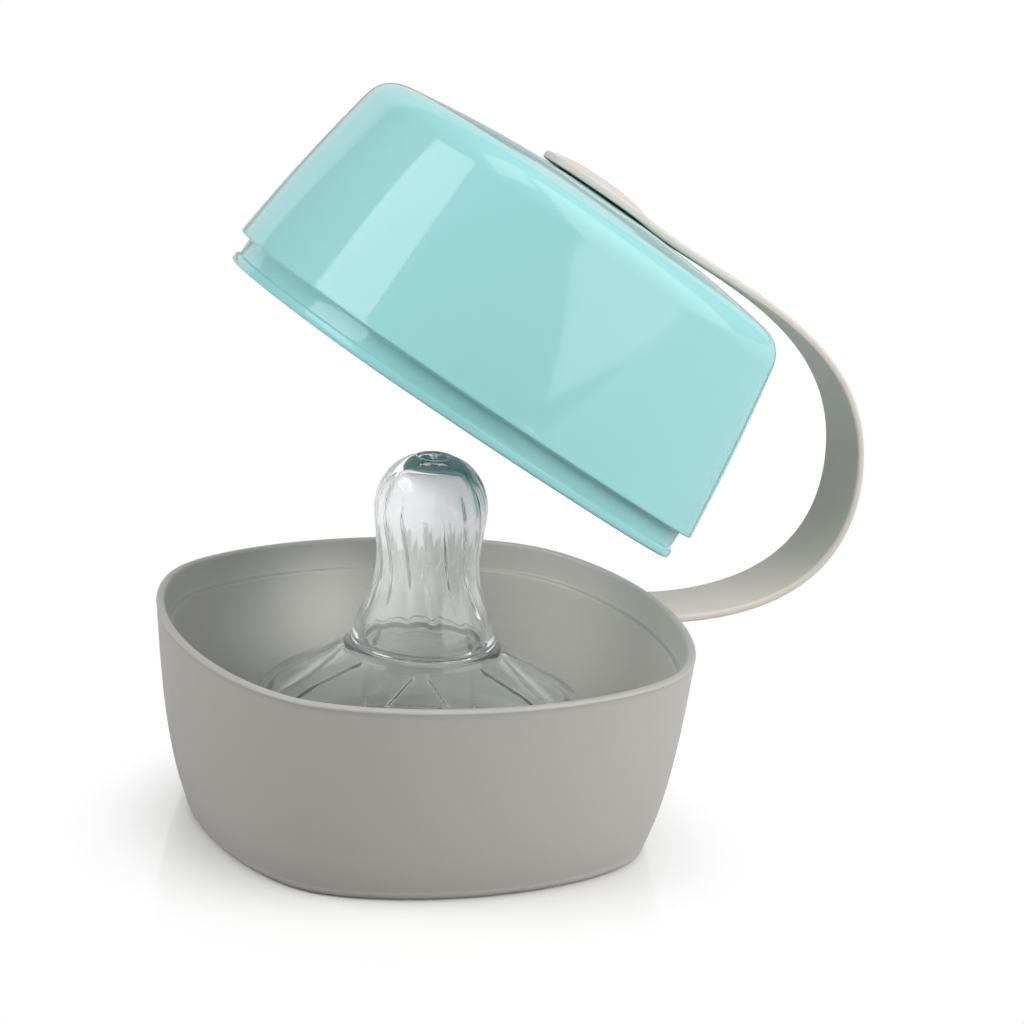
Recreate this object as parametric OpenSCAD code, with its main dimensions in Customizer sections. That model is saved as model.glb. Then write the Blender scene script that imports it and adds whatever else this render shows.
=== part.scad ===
// Strap-lidded carry case holding a bottle teat, drawn open as it stands.
// Millimetres. Z is up, X points from the middle of the bowl to the strap.
// The origin is the middle of the bowl's foot. Every piece is modelled closed,
// then the lid's pieces are swung open about the flex line of the strap.

/* [Outline] */
// Bowl width across opposite flat sides, at the rim
case_w = 88; // [76:0.5:110]
// How far each rounded corner reaches past a plain circle
corner_reach = 1.7; // [0.4:0.1:2.2]

/* [Bowl] */
// Height of the bowl from foot to rim
bowl_h = 35; // [28:0.5:50]
// How far the outside draws in from rim to foot
wall_taper = 6.6; // [2:0.1:9]
// Wall thickness below the ledge
bowl_wall = 2.5; // [1.6:0.1:3]
// Wall thickness of the thin rim above the ledge
rim_wall = 1.5; // [1.1:0.1:1.8]
// Depth of the recess that takes the lid's lip
recess_depth = 5.05; // [3:0.05:7]
// Thickness of the floor
floor_wall = 2.2; // [1.6:0.1:3]
// Rounding of the outer bottom edge
foot_round = 1.6; // [0.8:0.1:2.5]
// Rounding inside, where the wall meets the floor
floor_round = 4; // [2.5:0.1:5]
// Width of the ring the bowl stands on
foot_ring_w = 3.6; // [2:0.1:6]
// How far the underside is raised inside that ring
foot_rise = 0.8; // [0.3:0.1:1.2]
// Height of the round step that carries the teat
step_h = 6; // [4:0.1:10]
// Margin of the step round the teat's flange
step_margin = 0.7; // [0.3:0.1:1.2]
// Height of the locating ring on that step
locator_h = 2.2; // [1:0.1:4]
// Thickness of the locating ring
locator_wall = 1.4; // [1:0.1:2]
// Gap between the locating ring and the inside of the teat
locator_gap = 0.5; // [0.2:0.05:1]

/* [Lid] */
// Height of the lid above the rim, at its middle
lid_h = 38; // [30:0.5:55]
// Wall thickness of the lid
lid_wall = 1.8; // [1.2:0.1:2.5]
// How far the lid's skirt stands in from the bowl's outline
lid_inset = 1.2; // [0.3:0.1:1.4]
// Lean of the lid wall at the skirt, mm in per mm up
lid_lean = 0.1; // [0.02:0.005:0.14]
// Height of the rounded shoulder, from wall to top
shoulder_drop = 8.4; // [6:0.1:10]
// Width of the rounded shoulder, from skirt to crown
shoulder_in = 10.1; // [8:0.1:13]
// Rise of the domed top from its shoulder to its middle
crown_rise = 2.75; // [1:0.05:4]
// Depth of the lip below the skirt
lip_depth = 4.8; // [2.8:0.05:6.5]
// How far the lip's neck stands in from the skirt
neck_inset = 1.9; // [1.7:0.05:2.4]
// Wall thickness of the lip
lip_wall = 1.55; // [1.2:0.05:2]
// How far the snap bead stands out from the neck
bead_out = 0.6; // [0.1:0.05:0.8]
// Height of the snap bead
bead_h = 1.85; // [1.2:0.05:2.4]
// Clearance between skirt and rim when shut
seat_gap = 0.2; // [0.1:0.05:0.4]

/* [Strap] */
// Width of the strap
strap_w = 13; // [9:0.5:16]
// Thickness of the strap
strap_t = 1.4; // [1:0.1:2]
// How far the loop bows out past the bowl's side
loop_out = 32.2; // [26:0.1:45]
// Height of the loop's outermost point above the rim
loop_up = 23.8; // [18:0.1:30]
// Bend of the band towards the lid as it leaves the pad, degrees
pad_turn = 5; // [0:0.5:6]
// Straightness of the band where it leaves the pad
pull_pad = 19.7; // [16:0.1:28]
// Straightness of the band above the loop's outermost point
pull_up = 25; // [16:0.5:30]
// Straightness of the band below the loop's outermost point
pull_down = 10.5; // [7:0.5:16]
// Straightness of the band where it leaves the bowl
pull_root = 27.2; // [18:0.1:29]
// Middle of the band's root below the rim
root_drop = 0.8; // [0.8:0.1:3]
// Height of the plate that bonds the root to the bowl
root_plate_h = 2.6; // [2:0.1:5]
// Depth of that plate's pocket in the bowl's wall
root_plate_t = 0.6; // [0.4:0.05:0.8]
// Diameter of the round pad on the lid
pad_d = 20.5; // [17:0.5:24]
// Thickness of the pad at its edge
pad_edge = 1.35; // [0.8:0.1:1.5]
// Thickness of the pad at its middle
pad_mid = 2.4; // [1.8:0.1:3.5]
// Diameter of the stem that passes through the lid
stem_d = 5; // [4:0.1:7]
// Clearance round the stem and under the pad
stem_gap = 0.25; // [0.15:0.05:0.4]
// How far the stem's barb stands out
barb_out = 0.7; // [0.4:0.05:1]
// Length of the barb
barb_h = 2; // [1.4:0.1:3]
// Thickness of the retaining ring
lock_t = 1.5; // [1:0.1:2]
// Width of the retaining ring round the stem
lock_w = 3; // [2:0.1:4]

/* [Teat] */
// Height of the teat from flange to tip
teat_h = 57.6; // [50:0.2:62]
// Radius of the teat's bulb
bulb_r = 9.5; // [8:0.1:10.5]
// Radius of the teat's flange
flange_r = 29.5; // [26:0.1:30]
// Height of the groove that seats in the bottle's ring
groove_h = 2.8; // [2:0.1:3.4]
// Depth of that groove
groove_d = 2.1; // [1.2:0.1:2.6]
// Wall thickness of the teat
teat_wall = 1.7; // [1.3:0.1:2]
// Radius of the raised ring round the tip hole
tip_ring_r = 3.2; // [2:0.1:4]
// Radius of the tip hole
tip_hole_r = 0.4; // [0.3:0.05:0.6]
// Number of flutes inside the teat
flute_count = 12; // [8:1:16]
// Depth of the flutes
flute_depth = 0.5; // [0.2:0.05:0.7]
// Depth of the petals inside the shoulder
petal_depth = 0.5; // [0:0.05:0.6]
// Turn of the flutes from neck to tip, degrees
flute_turn = 25; // [0:1:60]

/* [Opening] */
// How far the lid is swung open
open_angle = 33; // [0:0.5:60]
// Flex line of the strap, out from the bowl's side
flex_out = 26.9; // [22:0.1:40]
// Flex line of the strap, up from the rim
flex_up = 13; // [6:0.1:20]

/* [Hidden] */
ring_n = 64;
edge_r = 0.35;
half_w = case_w / 2;
flex_x = half_w + flex_out;
flex_z = bowl_h + flex_up;
step_r = flange_r + step_margin;
flange_in_r = flange_r - groove_d - teat_wall;
locator_r = flange_in_r - locator_gap;
lid_z = bowl_h + seat_gap;
lid_curve = 0.0016;
shoulder_z = lid_h - shoulder_drop;
shoulder_d = lid_inset + shoulder_in / 2;
shoulder_top = shoulder_z + 0.606 * shoulder_drop;
crown_d = lid_inset + shoulder_in;
crown_z = lid_h - crown_rise;
neck_d = lid_inset + neck_inset;
bead_d = neck_d - bead_out;
lip_in_d = neck_d + lip_wall;
pad_r = pad_d / 2;
pad_z = lid_h + 0.6 * stem_gap;
stem_r = stem_d / 2;
lock_r = stem_r + lock_w;
lock_z = lid_h - lid_wall - lock_t - edge_r;
barb_z = lock_z - 0.6 * stem_gap - pad_z;
root_z = bowl_h - root_drop;
root_gap = 0.05;

// Corner curve of the plan outline drawn in by d, at heading a
function plan(a, d) =
    let (h = half_w + corner_reach * (1 - cos(4 * a)) - d,
         g = 4 * corner_reach * sin(4 * a))
    [h * cos(a) - g * sin(a), h * sin(a) + g * cos(a)];

// Draw-in of the bowl's outside at height z
function bowl_in(z) =
    let (u = (bowl_h - z) / bowl_h)
    wall_taper * (0.5 * u + 0.4 * pow(u, 3) + 0.1 * pow(u, 8));

// Draw-in of the lid's outside at height z over the skirt
function lid_in(z) = lid_inset + lid_lean * z + lid_curve * z * z;

// Point on a three-point curve
function curve3(a, b, c, t) = a * (1 - t) * (1 - t) + b * 2 * t * (1 - t) + c * t * t;

// Point on a four-point curve, and its heading
function curve4(p, t) =
    let (s = 1 - t)
    p[0] * s * s * s + p[1] * 3 * t * s * s + p[2] * 3 * t * t * s + p[3] * t * t * t;
function slope4(p, t) =
    let (s = 1 - t)
    (p[1] - p[0]) * 3 * s * s + (p[2] - p[1]) * 6 * t * s + (p[3] - p[2]) * 3 * t * t;

// Solid skinned over rings [draw-in, scale, height], closed at both ends on the axis
module ring_solid(rings) {
    n = ring_n;
    m = len(rings);
    pts = [for (r = rings) for (i = [0:n - 1])
        let (p = plan(i * 360 / n, r[0])) [p[0] * r[1], p[1] * r[1], r[2]]];
    ends = [[0, 0, rings[0][2]], [0, 0, rings[m - 1][2]]];
    sides = [for (j = [0:m - 2]) for (i = [0:n - 1]) let (k = (i + 1) % n)
        each [[j * n + i, j * n + n + i, j * n + n + k], [j * n + i, j * n + n + k, j * n + k]]];
    caps = [for (i = [0:n - 1]) let (k = (i + 1) % n)
        each [[m * n, i, k], [(m - 1) * n + i, m * n + 1, (m - 1) * n + k]]];
    polyhedron(concat(pts, ends), concat(sides, caps));
}

// Solid skinned over rings of n points each, with flat ends
module skinned(points, n) {
    last = len(points) - n;
    sides = [for (j = [0:n:last - n]) for (i = [0:n - 1]) let (k = (i + 1) % n)
        each [[j + i, j + n + i, j + n + k], [j + i, j + n + k, j + k]]];
    ends = [[for (i = [0:n - 1]) i], [for (i = [n - 1:-1:0]) last + i]];
    polyhedron(points, concat(sides, ends));
}

// Swings a closed lid piece, or a point of one, to where it stands open
module swung() {
    translate([flex_x, 0, flex_z]) rotate([0, open_angle, 0])
        translate([-flex_x, 0, -flex_z]) children();
}
function swing(p) =
    let (x = p[0] - flex_x, z = p[1] - flex_z)
    [flex_x + x * cos(open_angle) + z * sin(open_angle),
     flex_z - x * sin(open_angle) + z * cos(open_angle)];

// Upright disc from z to z + h, its top edge cut back by edge_r
module edged_disc(z, h, r, sides) {
    translate([0, 0, z]) cylinder(h = h - edge_r + 0.01, r = r, $fn = sides);
    translate([0, 0, z + h - edge_r]) cylinder(h = edge_r, r1 = r, r2 = r - edge_r, $fn = sides);
}

// Bowl: tapered shell, stepped rim, foot ring, raised step and locating ring
module bowl() {
    foot_d = bowl_in(foot_round) + foot_round;
    ledge_z = bowl_h - recess_depth;
    ledge_d = bowl_in(ledge_z) + bowl_wall;
    recess_d = rim_wall + 0.25;
    rim_r = 0.36 * rim_wall;
    wall_top = bowl_h - rim_r - foot_round;
    fillet_z = floor_wall + floor_round;
    fillet_d = bowl_in(fillet_z) + bowl_wall;
    sink = floor_wall / 4;
    plate_y = strap_w + 2 * root_gap;
    plate_z = root_z + strap_t / 2 - root_plate_h - root_gap;
    shell = concat(
        [[foot_d + foot_ring_w + foot_rise, 1, foot_rise], [foot_d + foot_ring_w, 1, 0]],
        [for (t = [0:30:90]) [foot_d - foot_round * sin(t), 1, foot_round * (1 - cos(t))]],
        [for (i = [1:8]) let (z = foot_round + wall_top * i / 8.6) [bowl_in(z), 1, z]],
        [for (t = [0:30:90]) [rim_r * (1 - cos(t)), 1, bowl_h - rim_r * (1 - sin(t))]],
        [for (t = [0:30:90]) [rim_wall - rim_r * (1 - sin(t)), 1, bowl_h - rim_r * (1 - cos(t))]],
        [[recess_d, 1, ledge_z + edge_r], [recess_d + edge_r, 1, ledge_z],
         [ledge_d - edge_r, 1, ledge_z], [ledge_d, 1, ledge_z - edge_r]],
        [for (i = [1:5]) let (z = ledge_z - (ledge_z - fillet_z) * i / 5)
            [bowl_in(z) + bowl_wall, 1, z]],
        [for (t = [22.5:22.5:90])
            [fillet_d + floor_round * (1 - cos(t)), 1, fillet_z - floor_round * sin(t)]]);
    color([0.68, 0.68, 0.66])
    difference() {
        union() {
            ring_solid(shell);
            edged_disc(floor_wall - sink, step_h - floor_wall + sink, step_r, 96);
            difference() {
                edged_disc(step_h - sink, locator_h + sink, locator_r, 96);
                translate([0, 0, step_h - 1])
                    cylinder(h = locator_h + 2, r = locator_r - locator_wall, $fn = 96);
            }
        }
        translate([0, 0, -1]) cylinder(h = step_h - floor_wall + 1, r = step_r - bowl_wall, $fn = 96);
        translate([half_w - root_plate_t, -plate_y / 2, plate_z])
            cube([root_plate_t + 1, plate_y, root_plate_h + 2 * root_gap]);
    }
}

// Lid: leaning wall, soft shoulder, domed top, recessed neck and snap bead
module lid() {
    wall_d = lid_in(shoulder_z);
    inner_a = [wall_d + lid_wall, shoulder_z - edge_r];
    inner_b = [crown_d + lid_wall / 2, crown_z - lid_wall];
    inner_c = [shoulder_d + lid_wall, shoulder_top - lid_wall];
    outer_a = [wall_d, shoulder_z];
    outer_b = [crown_d, crown_z];
    outer_c = [shoulder_d, shoulder_top];
    lip_top = 1;
    wall_foot = lip_top + 2.4;
    shell = concat(
        [for (s = [0.18, 0.4, 0.7]) [inner_b[0], s, inner_b[1] + crown_rise * (1 - s * s)]],
        [for (t = [0:0.25:1]) let (p = curve3(inner_b, inner_c, inner_a, t)) [p[0], 1, p[1]]],
        [for (i = [1:4]) let (z = inner_a[1] - (inner_a[1] - wall_foot) * i / 4)
            [lid_in(z) + lid_wall, 1, z]],
        [[lip_in_d, 1, lip_top], [lip_in_d, 1, edge_r - lip_depth], [lip_in_d - edge_r, 1, -lip_depth],
         [bead_d + 0.8, 1, -lip_depth], [bead_d + 0.25, 1, 0.16 * bead_h - lip_depth],
         [bead_d, 1, 0.38 * bead_h - lip_depth], [bead_d, 1, 0.65 * bead_h - lip_depth],
         [bead_d + 0.1, 1, 0.81 * bead_h - lip_depth], [neck_d, 1, bead_h - lip_depth],
         [neck_d, 1, 0], [lid_inset + edge_r, 1, 0], [lid_inset, 1, edge_r]],
        [for (i = [1:8]) let (z = shoulder_z * i / 8) [lid_in(z), 1, z]],
        [for (t = [0.15:0.17:1]) let (p = curve3(outer_a, outer_c, outer_b, t)) [p[0], 1, p[1]]],
        [for (s = [0.84, 0.64, 0.42, 0.2]) [crown_d, s, crown_z + crown_rise * (1 - s * s)]]);
    color([0.55, 0.83, 0.82])
    swung() translate([0, 0, lid_z]) difference() {
        ring_solid(shell);
        translate([0, 0, shoulder_z]) cylinder(h = shoulder_drop + 1, r = stem_r + stem_gap, $fn = 48);
    }
}

// Centre line of the strap: from under the pad, round the loop, to the bowl's rim
strap_start = swing([pad_r - 3, lid_z + pad_z + strap_t / 2]);
strap_head = [cos(open_angle + pad_turn), -sin(open_angle + pad_turn)];
reach_x = half_w + loop_out;
loop_z = bowl_h + loop_up;
root_x = half_w + 0.1;
strap_top = [strap_start, strap_start + strap_head * pull_pad, [reach_x, loop_z + pull_up],
             [reach_x, loop_z]];
strap_low = [[reach_x, loop_z], [reach_x, loop_z - pull_down], [root_x + pull_root, root_z],
             [root_x, root_z]];
strap_line = concat(
    [for (i = [0:18]) [curve4(strap_top, i / 18), slope4(strap_top, i / 18)]],
    [for (i = [1:16]) [curve4(strap_low, i / 16), slope4(strap_low, i / 16)]]);

// Strap: moulded pad with its stem, the looped band, and the root plate
module strap() {
    r = 0.36 * strap_t;
    side = strap_w / 2 - r;
    up = strap_t / 2 - r;
    section = [for (q = [0:3]) for (t = [0, 45, 90]) let (a = q * 90 + t)
        [(q == 0 || q == 3 ? side : -side) + r * cos(a), (q < 2 ? up : -up) + r * sin(a)]];
    n = len(section);
    pts = [for (s = strap_line) let (d = s[1] / norm(s[1])) for (p = section)
        [s[0][0] - d[1] * p[1], p[0], s[0][1] + d[0] * p[1]]];
    stem = [[0, barb_z - barb_h], [stem_r - edge_r, barb_z - barb_h],
            [stem_r + barb_out, barb_z - 0.3 * barb_h], [stem_r + barb_out, barb_z],
            [stem_r, barb_z], [stem_r, 0]];
    pad = [[pad_r - 0.25, 0], [pad_r, 0.25], [pad_r, pad_edge - 0.3], [pad_r - 0.1, pad_edge - 0.08],
           [pad_r - edge_r, pad_edge], [pad_r * 0.5, pad_mid - 0.2], [pad_r * 0.4, pad_mid - 0.06],
           [pad_r * 0.25, pad_mid], [0, pad_mid]];
    color([0.72, 0.71, 0.69])
    union() {
        skinned(pts, n);
        swung() translate([0, 0, lid_z + pad_z]) rotate_extrude($fn = 96) polygon(concat(stem, pad));
        translate([half_w - root_plate_t + root_gap, -strap_w / 2, root_z + strap_t / 2 - root_plate_h])
            cube([root_plate_t + strap_t / 3, strap_w, root_plate_h]);
    }
}

// Retaining ring pushed over the stem's barb inside the lid
module strap_lock() {
    color([0.6, 0.85, 0.84])
    swung() translate([0, 0, lid_z]) difference() {
        edged_disc(lock_z, lock_t, lock_r, 64);
        translate([0, 0, lock_z - 1]) cylinder(h = lock_t + 2, r = stem_r + 0.4 * stem_gap, $fn = 48);
    }
}

// Side of the teat above its groove: stations [share of the height, share of
// the way out from the bulb's radius to the flange's], joined smoothly
side_shares = [[0.165, 0.975], [0.219, 0.945], [0.273, 0.845], [0.356, 0.455], [0.42, 0.195],
               [0.444, 0.145], [0.497, 0.11], [0.557, 0.03], [0.62, -0.025], [0.681, -0.04],
               [0.747, -0.028], [0.816, -0.008], [0.842, 0]];
teat_line = [for (q = side_shares) [q[0] * teat_h, bulb_r + q[1] * (flange_r - bulb_r)]];
dome_z = teat_line[len(teat_line) - 1][0];
function blend_at(v, k, t) =
    let (p = v[max(k - 1, 0)], q = v[k], r = v[k + 1], s = v[min(k + 2, len(v) - 1)])
    0.5 * (q * 2 + (r - p) * t + (p * 2 - q * 5 + r * 4 - s) * t * t
           + (q * 3 - p - r * 3 + s) * t * t * t);
teat_side = [for (k = [0:len(teat_line) - 2]) for (t = [0, 0.5]) blend_at(teat_line, k, t)];
teat_dome = [for (t = [0:11.25:78.75])
    [dome_z + (teat_h - dome_z) * sin(t), bulb_r * pow(cos(t), 0.86)]];

// How far height z is into the span from a to b, from 0 to 1
function into(z, a, b) = min(1, max(0, (z - a) / (b - a)));

// Teat: flange, neck groove, shoulder, fluted bulb and tip hole
module teat() {
    n = 72;
    rise = 0.02;
    neck_z = 0.52 * teat_h;
    petal_z = 0.417 * teat_h;
    flange_t = 1.95;
    groove_r = flange_r - groove_d;
    groove_z = flange_t + 0.45;
    side = concat(teat_side, teat_dome);
    outer = concat([[0, 0], [flange_r - edge_r, 0], [flange_r, edge_r],
                    [flange_r, flange_t - edge_r], [flange_r - edge_r, flange_t],
                    [groove_r, groove_z], [groove_r, groove_z + groove_h],
                    [flange_r - 0.7, groove_z + groove_h + 1.1]],
                   [for (p = side) [p[1], p[0]]], [[0, teat_h]]);
    bell_z = groove_z + groove_h + 2.3;
    inner = concat([[-1, flange_in_r], [groove_z + groove_h, flange_in_r],
                    [bell_z, side[0][1] - teat_wall]],
                   [for (k = [1:len(side) - 1]) let (p = side[k], fine = k % 2 == 0 || p[0] > petal_z)
                       if (p[0] > 0.167 * teat_h && p[0] < dome_z + 5 && fine)
                       [p[0] - (p[0] < neck_z ? teat_wall / 2 : 0), p[1] - teat_wall]],
                   [[teat_h - 3.2, bulb_r * 0.62 - 1], [teat_h - 2.3, 2.2]]);
    pts = [for (p = inner) for (i = [0:n - 1])
        let (flute = into(p[0], 0.45 * teat_h, 0.54 * teat_h) * into(p[0], teat_h - 4, teat_h - 8),
             petal = into(p[0], 0.226 * teat_h, 0.278 * teat_h) * into(p[0], petal_z, 0.365 * teat_h),
             a = i * 360 / n,
             w = p[1] - flute_depth * flute * (1 - cos(flute_count * (a - flute_turn * p[0] / 30))) / 2
                 - petal_depth * petal * (1 - cos(flute_count * a)) / 2)
        [w * cos(a), w * sin(a), p[0]]];
    color([0.86, 0.9, 0.92, 0.6])
    translate([0, 0, step_h + rise]) difference() {
        union() {
            rotate_extrude($fn = n) polygon(outer);
            translate([0, 0, teat_h - 0.6]) cylinder(h = 0.75, r = tip_ring_r, $fn = 48);
        }
        skinned(pts, n);
        translate([0, 0, teat_h - 4]) cylinder(h = 6, r = tip_hole_r, $fn = 24);
    }
}

bowl();
lid();
strap();
strap_lock();
teat();
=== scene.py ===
# %% [markdown]
# A small carry case stands open with a bottle teat inside: a satin grey bowl, a glossy
# cyan lid tipped up on a looped strap, and the clear silicone teat. The imported model is
# loaded first as the frame. Each rigid or soft form is then modelled again round it, finer
# and smoother than its solid, and all but the band ride on the same body. All lengths here are millimetres
# until they are handed to Blender, which works in metres.

import math

import bpy
import numpy as np
from mathutils import Matrix, Vector


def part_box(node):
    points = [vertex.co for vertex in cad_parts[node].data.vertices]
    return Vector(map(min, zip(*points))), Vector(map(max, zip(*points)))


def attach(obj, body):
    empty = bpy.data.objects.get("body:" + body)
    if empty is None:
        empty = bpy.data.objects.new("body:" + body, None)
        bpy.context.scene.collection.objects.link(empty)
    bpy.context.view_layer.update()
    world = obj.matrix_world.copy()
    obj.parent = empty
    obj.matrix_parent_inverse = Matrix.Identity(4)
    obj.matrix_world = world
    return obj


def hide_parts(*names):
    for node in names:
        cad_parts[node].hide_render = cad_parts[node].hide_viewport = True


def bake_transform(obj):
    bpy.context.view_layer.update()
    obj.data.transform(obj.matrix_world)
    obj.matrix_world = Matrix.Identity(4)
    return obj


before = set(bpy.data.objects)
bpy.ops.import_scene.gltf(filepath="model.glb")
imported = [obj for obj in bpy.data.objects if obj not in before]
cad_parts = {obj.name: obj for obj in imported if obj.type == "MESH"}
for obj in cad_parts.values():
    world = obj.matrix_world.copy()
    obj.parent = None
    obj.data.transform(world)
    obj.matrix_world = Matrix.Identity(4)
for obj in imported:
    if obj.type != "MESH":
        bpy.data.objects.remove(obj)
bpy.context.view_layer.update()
MM = 0.001
print("nodes:", sorted(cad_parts))

# %% [markdown]
# The photograph was taken from the front left, 17 degrees above the bowl, with the camera
# rolled by 4 degrees. Its place and its three directions were worked out from the rim, the
# foot and the lid, so they go straight into the camera's matrix instead of being aimed.

# %% Camera
EYE = (-203.722, -535.585, 233.036)
RIGHT = Vector((0.93155, -0.35767, 0.06551))
UP = Vector((0.04843, 0.30059, 0.95252))
FORWARD = Vector((0.36038, 0.88415, -0.29734))
LENS = 126.5625
SENSOR = 36.0

camera = bpy.data.objects.new("camera", bpy.data.cameras.new("camera"))
bpy.context.scene.collection.objects.link(camera)
camera.data.sensor_width = SENSOR
camera.data.lens = LENS
turn = Matrix((RIGHT, UP, -FORWARD)).transposed().to_4x4()
camera.matrix_world = Matrix.Translation(Vector(EYE) * MM) @ turn
bpy.context.scene.camera = camera
print("camera is", round(Vector(EYE).length), "mm from the bowl's foot")

# %% [markdown]
# The bowl and the lid share one outline, a square with wide round corners. It is a circle
# whose points are pushed out along and across their own heading, and the push is the same at
# every height. So each shell can be turned on the lathe as a round one and then squared off,
# which keeps its wall even all the way round.

# %% Outline of the case
HALF_W = 44.0
CORNER_REACH = 1.7
BOWL_H = 35.0
SPIN_STEPS = 192


def corner_push(heading):
    """How far the outline stands off a circle at a heading, along and across it, in mm."""
    return CORNER_REACH * (1 - np.cos(4 * heading)), 4 * CORNER_REACH * np.sin(4 * heading)


print("corner stands off by", round(float(corner_push(math.pi / 4)[0]), 2), "mm")

# %% [markdown]
# Every turned piece starts as half of its section. A tiny plane is merged to one point, the
# point is extruded from corner to corner as when tracing a drawing, and the line is spun
# round the upright axis. The seam and the poles are merged before the normals are turned
# outwards. A helper does this, because the bowl, the lid, the pad and the teat all need it.

# %% Draw and spin a section
MERGE = 0.002


def deselect():
    """Nothing selected, in object mode."""
    if bpy.context.object and bpy.context.object.mode != "OBJECT":
        bpy.ops.object.mode_set(mode="OBJECT")
    bpy.ops.object.select_all(action="DESELECT")


def draw_section(name, points):
    """An open or closed line of edges through (out, up) points in mm, drawn by extruding."""
    deselect()
    bpy.ops.mesh.primitive_plane_add(size=MM, location=(0, 0, 0))
    piece = bpy.context.object
    piece.name = piece.data.name = name
    bpy.ops.object.mode_set(mode="EDIT")
    bpy.ops.mesh.select_all(action="SELECT")
    bpy.ops.mesh.merge(type="CENTER")
    out, up = points[0]
    bpy.ops.transform.translate(value=(out * MM, 0, up * MM))
    for (a, b), (c, d) in zip(points, points[1:]):
        step = ((c - a) * MM, 0, (d - b) * MM)
        bpy.ops.mesh.extrude_region_move(TRANSFORM_OT_translate={"value": step})
    bpy.ops.object.mode_set(mode="OBJECT")
    return piece


def spin_round(piece, steps):
    """Spins the drawn section round the upright axis into a closed, outward-facing solid."""
    bpy.context.view_layer.objects.active = piece
    bpy.ops.object.mode_set(mode="EDIT")
    bpy.ops.mesh.select_all(action="SELECT")
    bpy.ops.mesh.spin(steps=steps, angle=2 * math.pi, center=(0, 0, 0), axis=(0, 0, 1))
    bpy.ops.mesh.select_all(action="SELECT")
    bpy.ops.mesh.remove_doubles(threshold=MERGE * MM)
    bpy.ops.mesh.normals_make_consistent(inside=False)
    bpy.ops.object.mode_set(mode="OBJECT")
    return piece


print("points closer than", MERGE, "mm are merged")

# %% [markdown]
# Three more steps follow every piece. Its faces are shaded smooth except at real edges. A shell
# is pushed out, ring by ring, to the case's outline. And each piece is measured beside its node,
# so that a slip shows at once.

# %% Shade, square off and measure
SHARP = 32


def smooth(piece, degrees=SHARP):
    """Smooth shading that keeps the edges sharper than this angle."""
    deselect()
    piece.select_set(True)
    bpy.context.view_layer.objects.active = piece
    bpy.ops.object.shade_smooth_by_angle(angle=math.radians(degrees))


def square_off(piece, section, shares):
    """Pushes each ring of a turned piece out to the case's outline, by its point's share."""
    count = len(piece.data.vertices)
    co = np.empty(count * 3)
    piece.data.vertices.foreach_get("co", co)
    co = co.reshape(-1, 3)
    drawn = np.array(section) * MM
    radius = np.hypot(co[:, 0], co[:, 1])
    off = np.hypot(radius[:, None] - drawn[None, :, 0], co[:, 2][:, None] - drawn[None, :, 1])
    share = np.array(shares)[off.argmin(1)]
    heading = np.arctan2(co[:, 1], co[:, 0])
    along, across = (push * share * MM for push in corner_push(heading))
    co[:, 0] += along * np.cos(heading) - across * np.sin(heading)
    co[:, 1] += along * np.sin(heading) + across * np.cos(heading)
    piece.data.vertices.foreach_set("co", co.ravel())
    piece.data.update()


def box_mm(piece):
    """Low and high corner of a piece in mm, to compare with its node."""
    co = np.array([v.co for v in piece.data.vertices]) / MM
    return co.min(0).round(1).tolist(), co.max(0).round(1).tolist()


def report(piece, node=None):
    """Prints what was made, and the node's own corners beside it."""
    print(piece.name, "faces", len(piece.data.polygons), "mm", box_mm(piece))
    if node:
        low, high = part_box(node)
        print("   node", node, [round(v / MM, 1) for v in low], [round(v / MM, 1) for v in high])


print("edges sharper than", SHARP, "degrees stay sharp")

# %% [markdown]
# Corners of a moulded shell are never sharp, and it is their small arcs that catch the light.
# Two helpers give points on an arc and on a bent line, so that a section can be written as a
# list of short runs.

# %% Curve helpers
def arc(mid_out, mid_up, radius, start, end, count):
    """Points on an arc in the section's plane, angles in degrees from the outward way."""
    angles = [math.radians(start + (end - start) * i / count) for i in range(count + 1)]
    return [(mid_out + radius * math.cos(t), mid_up + radius * math.sin(t)) for t in angles]


def bent(a, b, c, count, first=0.0):
    """Points on a curve from a to c that is pulled towards b."""
    made = []
    for i in range(count + 1):
        t = first + (1 - first) * i / count
        made.append(tuple(p * (1 - t) ** 2 + 2 * q * t * (1 - t) + r * t * t
                          for p, q, r in zip(a, b, c)))
    return made


print("a quarter arc of 2 mm:", [tuple(round(v, 2) for v in p) for p in arc(0, 0, 2, 0, 90, 2)])

# %% [markdown]
# The bowl is one injection moulding: a tapered wall that tucks in quickly near the foot, a thin
# rim with a recess behind it where the lid's lip sits, a ledge under the recess, and a round
# step on the floor that carries the teat. Its sizes are the solid's own. The wall's taper is a
# sum of three powers of the way down, so that it is gentle at the rim and quick at the foot.

# %% Bowl sizes and wall
WALL_TAPER = 6.6
BOWL_WALL = 2.5
RIM_WALL = 1.5
RECESS = 5.05
FLOOR_WALL = 2.2
FOOT_ROUND = 1.6
FLOOR_ROUND = 4.0
FOOT_RING_W = 3.6
FOOT_RISE = 0.8
STEP_H = 6.0
STEP_R = 30.2
LOCATOR_H = 2.2
LOCATOR_R = 25.2
LOCATOR_WALL = 1.4
EDGE = 0.35
TOE = 0.3
POCKET_EDGE = 0.6
FLAT_R = 12.0


def bowl_in(up):
    """Draw-in of the bowl's outside at a height."""
    u = (BOWL_H - up) / BOWL_H
    return WALL_TAPER * (0.5 * u + 0.4 * u**3 + 0.1 * u**8)


def wall_run(low, high, count, thick=0.0):
    """Points up the bowl's wall, on its outside or one thickness in."""
    ups = [low + (high - low) * i / count for i in range(count + 1)]
    return [(HALF_W - bowl_in(z) - thick, z) for z in ups]


print("the wall draws in by", round(bowl_in(0.0), 2), "mm at the foot")

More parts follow.
